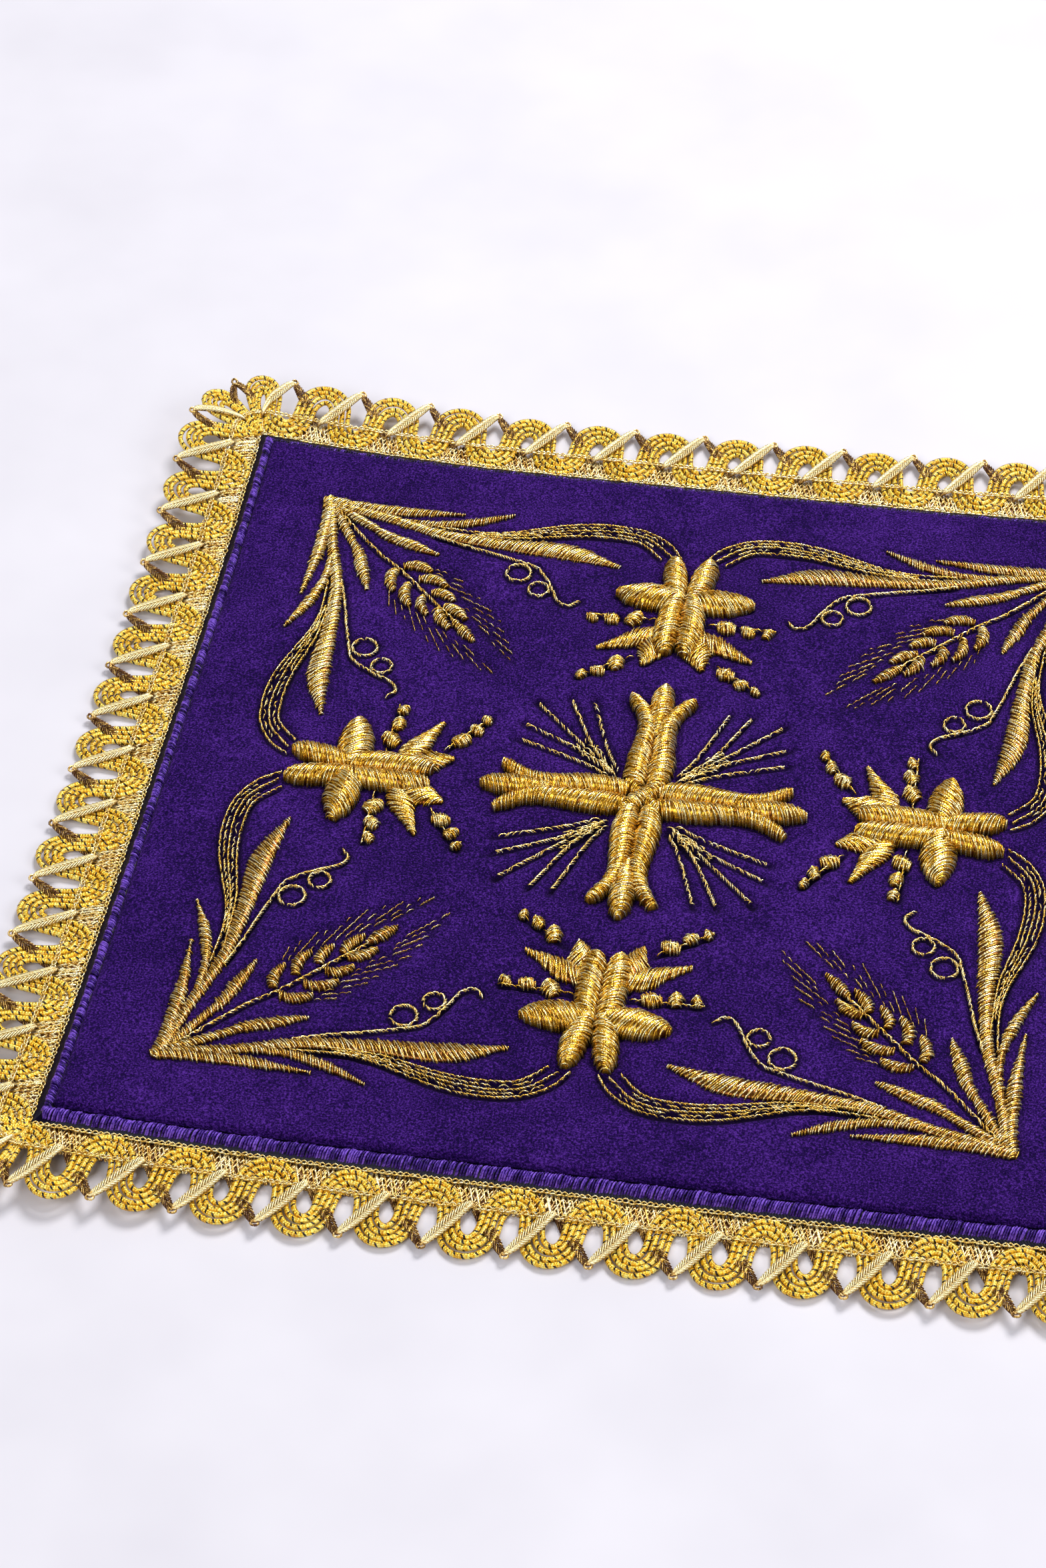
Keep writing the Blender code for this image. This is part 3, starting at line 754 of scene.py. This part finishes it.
def make_binding(side):
    """One side's satin stitches over the velvet's edge, and the padding that shows past them, kept dark as
    painted shadow beside them. Both are mitred at the corners."""
    _, _, quarter = SIDES[side]
    looks = BINDING_STITCHES[side]
    threads = ThreadMesh()
    middle = BINDING_INNER + looks["middle"]
    section = np.array(BINDING_SECTION)
    count = int(2 * middle / BINDING_PITCH)
    places = np.linspace(-middle, middle, count)
    swell = 0.10 * np.sin(places * 0.9) + 0.08 * np.sin(places * 2.3 + 1) + jitter(0.04, count)
    lean = np.linspace(-BINDING_LEAN, BINDING_LEAN, len(section))
    along = np.clip(places[:, None] + lean + jitter(0.06, (count, 1)), -middle, middle)
    out = middle + section[:, 0] * looks["reach"] * (1 + 0.4 * swell[:, None])
    along = np.clip(along, -out, out)
    z = section[:, 1] - looks["drop"] + 0.8 * swell[:, None] * (section[:, 1] > 1)
    paths = turned(joined(along, out, z), quarter)
    # Each side's tones are painted light and shade.
    threads.add(paths, BINDING_RADIUS, flat=0.8, tone=looks["tones"])

    corners = np.array(BAR_SECTION)
    marks = np.linspace(-1, 1, 41)
    out = BINDING_INNER + BAR_MIDDLE + corners[:, 0] * BAR_REACH
    height = corners[:, 1] - looks["drop"] * (corners[:, 1] > 1)
    rings = turned(joined(marks[:, None] * out, out, height), quarter)
    threads.add_rings(curled(rings)[None], marks[None] * middle, [BAR_SHADE_TONE])
    return threads.build("binding_" + side, ["violet_thread"], replaces="binding_" + side)


# The lace's cords: how far out their middle line turns back, the steepest that they get, how many there are,
# how far apart, how high, and their radius
CORD_CRESTS = (2.25, 11.25)
CORD_SWING = math.radians(85)
CORD_COUNT = 4
CORD_SPACING = 0.90
CORD_UP = 0.68
CORD_RADIUS = 0.43

# Its ribbon: the zigzag's middle, swing and sharpness (up to 1), half its width, its height, where, over what
# length and how deep its bronze legs sink, and where its loops are
RIBBON_MIDDLE = 8.1
RIBBON_SWING = 3.9
RIBBON_BEND = 0.97
RIBBON_HALF = 0.85
RIBBON_UP = 1.15
SINK_START = 8.6
SINK_LENGTH = 1.6
SINK_DEPTH = 0.75
LOOP_PLACE = 12.35

# Its knitted chains (how far out, how high, and whether they go round the corners) and their cells, and the
# heading between them: its middle and half its width, the pitch and slant of its crossing yarns, and where
# its wandering yarns run
LACE_CHAINS = ({"out": 0.25, "up": 0.75, "rounds": False}, {"out": 4.7, "up": 1.1, "rounds": True})
LACE_CELL = 0.85
HEADING_MIDDLE = 2.35
HEADING_HALF = 2.2
YARN_PITCH = 0.62
YARN_SWING = 1.5
WANDERING_YARNS = (1.3, 2.5, 3.6)


def lace_place(along, out, up, quarter):
    """Places along the flat lace, outward from its inner edge and up, laid straight along a side and fanned
    round its corners."""
    past = np.maximum(np.abs(along) - LACE_INNER, 0)
    angle = past / FAN_ARC * np.pi / 4
    x = np.where(past > 0, np.sign(along) * (LACE_INNER + out * np.sin(angle)), along)
    y = LACE_INNER + out * np.cos(angle)
    return turned(joined(x, y, up), quarter)


def lace_span(side):
    """A strip's first picot and the length of one repeat."""
    first, last, _ = SIDES[side]
    start = -LACE_INNER - FAN_ARC + CORNERS[first]["picot_shift"]
    end = LACE_INNER + FAN_ARC + CORNERS[last]["picot_shift"]
    return start, (end - start) / LACE_REPEATS


def lace_phase(steps):
    """How far a strip's winding has gone at each of its points, one turn a repeat, in so many steps."""
    return 2 * np.pi * np.arange(steps * LACE_REPEATS + 1) / steps


def make_lace_cords(side):
    """Wrapped cords that wind in and out side by side."""
    start, pitch = lace_span(side)
    phase = lace_phase(36)
    heading = CORD_SWING * np.sin(phase)
    hop = np.stack((np.cos(heading), np.sin(heading)), axis=1)
    middle = np.concatenate((np.zeros((1, 2)), np.cumsum((hop[1:] + hop[:-1]) / 2, axis=0)))
    middle *= pitch * LACE_REPEATS / middle[-1, 0]
    inner, outer = CORD_CRESTS
    middle[:, 1] *= (outer - inner) / middle[:, 1].max()
    threads = ThreadMesh()
    spacing = CORD_SPACING + 0.2 * np.cos(phase) ** 2
    for number in range(CORD_COUNT):
        shift = (number - (CORD_COUNT - 1) / 2) * spacing
        along = start + middle[:, 0] - shift * np.sin(heading) + 0.10 * np.sin(phase * 0.37 + number)
        out = inner + middle[:, 1] + shift * np.cos(heading) + 0.12 * np.sin(phase * 0.61 + 2 * number)
        up = CORD_UP + 0.12 * np.sin(phase * 2 + number)
        path = lace_place(along, out, up, SIDES[side][2])
        threads.add(path[None], CORD_RADIUS, sides=6, tone=(0.4, 0.8))
    return threads.build("lace_cords_" + side, ["gold_cord"], replaces="lace_" + side)


def make_lace_ribbon(side):
    """The flat knitted ribbon that zigzags over the cords, as fine threads side by side."""
    start, pitch = lace_span(side)
    quarter = SIDES[side][2]
    phase = lace_phase(30)
    saw = np.arcsin(RIBBON_BEND * np.cos(phase)) / math.asin(RIBBON_BEND)
    along = start + pitch * phase / (2 * np.pi)
    out = RIBBON_MIDDLE + RIBBON_SWING * saw
    way = np.gradient(np.stack((along, out), axis=1), axis=0)
    way /= np.linalg.norm(way, axis=1, keepdims=True)
    broad = RIBBON_HALF * (0.4 + 0.6 * np.abs(np.sin(phase)) ** 0.7)

    def over_under(shift, marks, up):
        """Places on the ribbon at marks along it, and its slope there, which also paints the legs running one
        way pale, as painted highlight, and the others bronze, as painted shade. The pale legs lie over the
        cords, and the bronze ones sink under them on their inner half."""
        columns = (along, out, way[:, 0], way[:, 1], broad)
        x, y, way_x, way_y, wide = (np.interp(marks, np.arange(len(phase)), column) for column in columns)
        path = lace_place(x + way_y * wide * shift, y - way_x * wide * shift, up, quarter)
        turn = np.pi / 2 * quarter
        hop_x = way_x * np.cos(turn) + way_y * np.sin(turn)
        hop_y = way_y * np.cos(turn) - way_x * np.sin(turn)
        slope = hop_x * hop_y
        sunk = np.clip((SINK_START - y) / SINK_LENGTH, 0, 1) * np.clip(-4 * slope, 0, 1)
        path[..., 2] += RIBBON_UP + 0.5 * slope - SINK_DEPTH * sunk
        return path, slope

    threads = ThreadMesh()
    marks = np.arange(len(phase)) * 1.0
    # Three dark base threads: their darkness is painted shade in the gaps between the slanted stitches, and
    # the slope adds painted highlight and shade leg by leg.
    for shift in (-0.75, 0.0, 0.75):
        path, slope = over_under(shift, marks, 0)
        threads.add(path[None], 0.22, flat=0.5, tone=(-1.2, -0.9), shade=2.0 * slope)
    # Slanted stitches knit the ribbon, mirrored about its middle.
    begins = np.arange(0, len(phase) - 3, 0.8)[:, None]
    part = np.linspace(0, 1, 4)
    for way_round in (-1, 1):
        up = 0.16 + 0.1 * np.sin(np.pi * part)
        path, slope = over_under(way_round * (1.05 - 1.05 * part), begins + 2.0 * part, up)
        # Their slope paints one way's legs pale, as painted highlight, and the other way's bronze, as painted
        # shade.
        threads.add(path, 0.14, flat=0.9, tone=(-0.1, 1.1), shade=2.6 * slope)
    # A small loop stands at each outward point.
    turn = np.linspace(0.5 * np.pi, 2.5 * np.pi, 10)
    for repeat in range(LACE_REPEATS + 1):
        x = start + pitch * repeat + 0.55 * np.cos(turn)
        loop = lace_place(x, LOOP_PLACE + 0.5 * np.sin(turn), 1.15 + 0.1 * np.sin(turn), quarter)
        threads.add(loop[None], 0.22, tone=(-0.6, 0.6))
    return threads.build("lace_ribbon_" + side, ["pale_gold_ribbon"], replaces="lace_" + side)


def make_lace_chains(side):
    """The knitted chains along the lace, and the heading of crossing yarns between them."""
    start, pitch = lace_span(side)
    quarter = SIDES[side][2]
    end = start + pitch * LACE_REPEATS
    threads = ThreadMesh()
    part = np.linspace(0, 1, 5)
    bow = np.sin(np.pi * part)
    for row in LACE_CHAINS:
        limit = np.inf if row["rounds"] else LACE_INNER
        begins = np.arange(max(start, -limit), min(end, limit) - LACE_CELL, LACE_CELL)[:, None]
        shape = (len(begins), 1)
        for way in (-1, 1):
            x = begins + LACE_CELL * 1.25 * part + jitter(0.08, shape)
            y = row["out"] + way * 0.30 * bow + jitter(0.06, shape)
            threads.add(lace_place(x, y, row["up"] + 0.22 * bow, quarter), 0.14, tone=(0.3, 1.0))

    # The heading's dense ground, the yarns that cross one another over it, and those that wander along it
    marks = np.arange(start + 0.4, end - 0.4, 1.0)
    ground = lace_place(marks, HEADING_MIDDLE, 0.2, quarter)
    threads.add(ground[None], HEADING_HALF, sides=6, flat=0.05, tone=(-1.5, -1.5), slot=1)
    begins = np.arange(start, end - YARN_PITCH, YARN_PITCH)
    begins = begins[np.abs(begins) < LACE_INNER + 0.75 * FAN_ARC][:, None]
    for layer, swing in enumerate((YARN_SWING, -YARN_SWING)):
        x = begins + swing * (part - 0.5) + jitter(0.15, (len(begins), 1))
        path = lace_place(x, 0.05 + 4.7 * part, 0.26 + 0.14 * layer + 0.12 * bow, quarter)
        threads.add(path, 0.2, tone=(-0.9, 1.6), slot=1 - layer)
    marks = np.arange(start, end, 0.45)
    for row in WANDERING_YARNS:
        wander = row + 0.35 * (-1) ** np.arange(len(marks)) + jitter(0.1, len(marks))
        path = lace_place(marks, wander, 0.55, quarter)
        threads.add(path[None], 0.17, tone=(0.2, 1.3), slot=1)
    golds = ["fine_gold_thread", "pale_gold_ribbon"]
    return threads.build("lace_chains_" + side, golds, replaces="lace_" + side)


# The velvet's top has this many squares each way, and its underside a ninth as many
VELVET_SQUARES = 252
UNDER_SQUARES = 28

# How the pile gives: its lumps (width in squares, height), how deep stitches press it, how widely and how
# readily, how deep and wide its rim is rounded, and how much lower the rest lies than the solid
LUMPS = ((1.0, 0.012), (5.0, 0.0035))
PRESS_DEPTH = 0.95
PRESS_WIDTH = 0.36
PRESS_GAIN = 0.28
PRESS_CELLS = 4  # cells of the count of stitches to a square of the grid
RIM_DEPTH = 0.4
RIM_WIDTH = 0.9
PILE_GIVE = 0.05


def blurred(grid, sigma):
    """A grid smoothed by a bell curve whose width is given in squares."""
    reach = np.arange(-int(3 * sigma), int(3 * sigma) + 1)
    bell = np.exp(-reach**2 / (2 * sigma**2))
    for axis in (0, 1):
        grid = np.apply_along_axis(np.convolve, axis, grid, bell, "same")
    return grid


def pile_press():
    """How far the stitches press the pile down at each grid point, from 0 to 1."""
    rows = np.concatenate(footprints)
    cells = VELVET_SQUARES * PRESS_CELLS
    count = np.zeros((cells + 1, cells + 1))
    place = np.clip(((rows[:, :2] / VELVET_HALF + 1) / 2 * cells).round().astype(int), 0, cells)
    np.maximum.at(count, (place[:, 0], place[:, 1]), rows[:, 2])
    sigma = PRESS_WIDTH / (2 * VELVET_HALF / cells)
    return np.clip(blurred(count, sigma)[::PRESS_CELLS, ::PRESS_CELLS] * PRESS_GAIN, 0, 1)


def underside(line, number, low):
    """The underside's inner points and its faces. Its squares are wide, and those at its rim take in the fine
    points at the wall's foot, which low gives by the top's point above each."""
    size = VELVET_SQUARES
    step = size // UNDER_SQUARES
    under = {}
    inner = []
    for i in range(0, size + 1, step):
        for j in range(0, size + 1, step):
            if i in (0, size) or j in (0, size):
                under[i, j] = low[int(number[i, j])]
            else:
                under[i, j] = number.size + len(low) + len(inner)
                inner.append((line[i], line[j], rise(line[i], line[j])))

    def side_points(start, end):
        """The points from one corner of a square towards the next, the fine ones too at the rim."""
        (i, j), (m, n) = start, end
        if (i == m and i in (0, size)) or (j == n and j in (0, size)):
            di, dj = np.sign(m - i), np.sign(n - j)
            return [low[int(number[i + di * k, j + dj * k])] for k in range(step)]
        return [under[start]]

    faces = []
    for i in range(0, size, step):
        for j in range(0, size, step):
            corners = [(i, j), (i, j + step), (i + step, j + step), (i + step, j)]
            loop = []
            for start, end in zip(corners, corners[1:] + corners[:1]):
                loop += side_points(start, end)
            faces.append(loop)
    return np.array(inner), faces


def make_velvet():
    """The velvet with its backing, as one closed sheet, pressed down where the others' stitches pull it."""
    size = VELVET_SQUARES
    line = np.linspace(-VELVET_HALF, VELVET_HALF, size + 1)
    x, y = np.meshgrid(line, line, indexing="ij")
    pressed = pile_press()
    rim = np.clip(1 - (VELVET_HALF - np.maximum(np.abs(x), np.abs(y))) / RIM_WIDTH, 0, 1)
    lumps = sum(blurred(jitter(1, x.shape), width) * height for width, height in LUMPS)
    top = VELVET_TOP - PILE_GIVE + lumps - PRESS_DEPTH * pressed - RIM_DEPTH * rim**2
    points = joined(x, y, top + rise(x, y)).reshape(-1, 3)
    number = np.arange((size + 1) ** 2).reshape(size + 1, size + 1)
    quads = np.stack((number[:-1, :-1], number[1:, :-1], number[1:, 1:], number[:-1, 1:]), axis=-1)
    faces = quads.reshape(-1, 4).tolist()

    # The wall runs down from the top's rim to a fine line round the underside.
    rim_path = np.concatenate((number[:-1, 0], number[-1, :-1], number[:0:-1, -1], number[0, :0:-1]))
    foot = curled(points[rim_path] * (1, 1, 0))
    low = dict(zip(rim_path.tolist(), range(len(points), len(points) + len(rim_path))))
    for here, there in zip(rim_path.tolist(), np.roll(rim_path, -1).tolist()):
        faces.append((here, low[here], low[there], there))
    inner, under_faces = underside(line, number, low)

    mesh = bpy.data.meshes.new("velvet_panel")
    mesh.from_pydata((np.concatenate((points, foot, inner)) * MM).tolist(), [], faces + under_faces)
    press_values = np.zeros(len(mesh.vertices), np.float32)
    press_values[: pressed.size] = pressed.ravel()
    mesh.attributes.new("pressed", "FLOAT", "POINT").data.foreach_set("value", press_values)
    mesh.shade_smooth()
    mesh.materials.append(velvet_material())
    mesh.materials.append(backing_material())
    for polygon in mesh.polygons[len(faces) :]:
        polygon.material_index = 1
    piece = place_object("velvet_panel_soft", mesh)
    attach(piece, "root")
    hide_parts("velvet_panel")


def make_camera():
    """The photograph's camera: round the pall's middle by its angles, then shifted in its own plane."""
    azimuth, elevation, roll = (math.radians(CAMERA[key]) for key in ("azimuth", "elevation", "roll"))
    level = Vector((math.cos(azimuth), math.sin(azimuth), 0))
    away = math.cos(elevation)
    back = Vector((math.sin(azimuth) * away, -math.cos(azimuth) * away, math.sin(elevation)))
    above = back.cross(level)
    right = math.cos(roll) * level + math.sin(roll) * above
    up = math.cos(roll) * above - math.sin(roll) * level
    data = bpy.data.cameras.new("camera")
    data.sensor_width = SENSOR
    data.lens = FOCAL_PIXELS / PHOTO_HEIGHT * SENSOR
    data.clip_start = 0.01
    camera = place_object("camera", data)
    place = (back * CAMERA["distance"] + right * CAMERA["right"] + up * CAMERA["up"]) * MM
    camera.matrix_world = Matrix.Translation(place) @ Matrix((right, up, back)).transposed().to_4x4()
    bpy.context.scene.camera = camera


# Soft round lights: the way to each from the pall's middle, its distance and size in metres, and its power
WARM = (1.0, 0.98, 0.95)
PALE = (1.0, 0.99, 0.97)
LIGHTS = {
    "key": {"way": (0.20, 0.55, 0.80), "distance": 0.9, "size": 0.38, "power": 6.8, "colour": WARM},
    "front": {"way": (-0.35, -0.75, 0.80), "distance": 0.95, "size": 0.5, "power": 3.6, "colour": WARM},
    "side": {"way": (0.85, -0.15, 0.55), "distance": 0.9, "size": 0.4, "power": 2.6, "colour": PALE},
}
WORLD_COLOUR = (0.9, 0.92, 1.0, 1.0)
WORLD_STRENGTH = 0.30
FLOOR_HALF = 2.0
FLOOR_SHADES = ((0.3, (0.66, 0.65, 0.72)), (0.7, (0.72, 0.71, 0.78)))


def make_light(name, way, distance, size, power, colour):
    data = bpy.data.lights.new(name, "AREA")
    data.shape = "DISK"
    data.size = size
    data.energy = power
    data.color = colour
    light = place_object(name, data)
    way = Vector(way).normalized()
    light.matrix_world = Matrix.Translation(way * distance) @ way.to_track_quat("Z", "Y").to_matrix().to_4x4()


def make_stage():
    """A plain pale floor, the lights and a dim even fill."""
    mesh = bpy.data.meshes.new("floor")
    corners = [(x * FLOOR_HALF, y * FLOOR_HALF, 0) for x, y in ((-1, -1), (1, -1), (1, 1), (-1, 1))]
    mesh.from_pydata(corners, [], [(0, 1, 2, 3)])
    nodes = Nodes("pale_floor")
    shade = nodes.ramp(nodes.noise(30, 3.0), *FLOOR_SHADES)
    mesh.materials.append(nodes.finish(Base_Color=shade, Roughness=0.9))
    place_object("floor", mesh)
    for name, light in LIGHTS.items():
        make_light(name, **light)
    world = bpy.data.worlds.new("studio")
    world.use_nodes = True
    background = world.node_tree.nodes["Background"]
    background.inputs["Color"].default_value = WORLD_COLOUR
    background.inputs["Strength"].default_value = WORLD_STRENGTH
    bpy.context.scene.world = world


bpy.context.scene.view_settings.view_transform = "Standard"
make_camera()
make_stage()
pieces = [make_cross(), make_rays()]
for side in SIDES:
    pieces += [make_lily(side), make_beads(side), make_binding(side)]
    pieces += [make_lace_cords(side), make_lace_ribbon(side), make_lace_chains(side)]
for corner_name in CORNERS:
    pieces += [make_spray(corner_name), make_tendrils(corner_name)]
make_velvet()
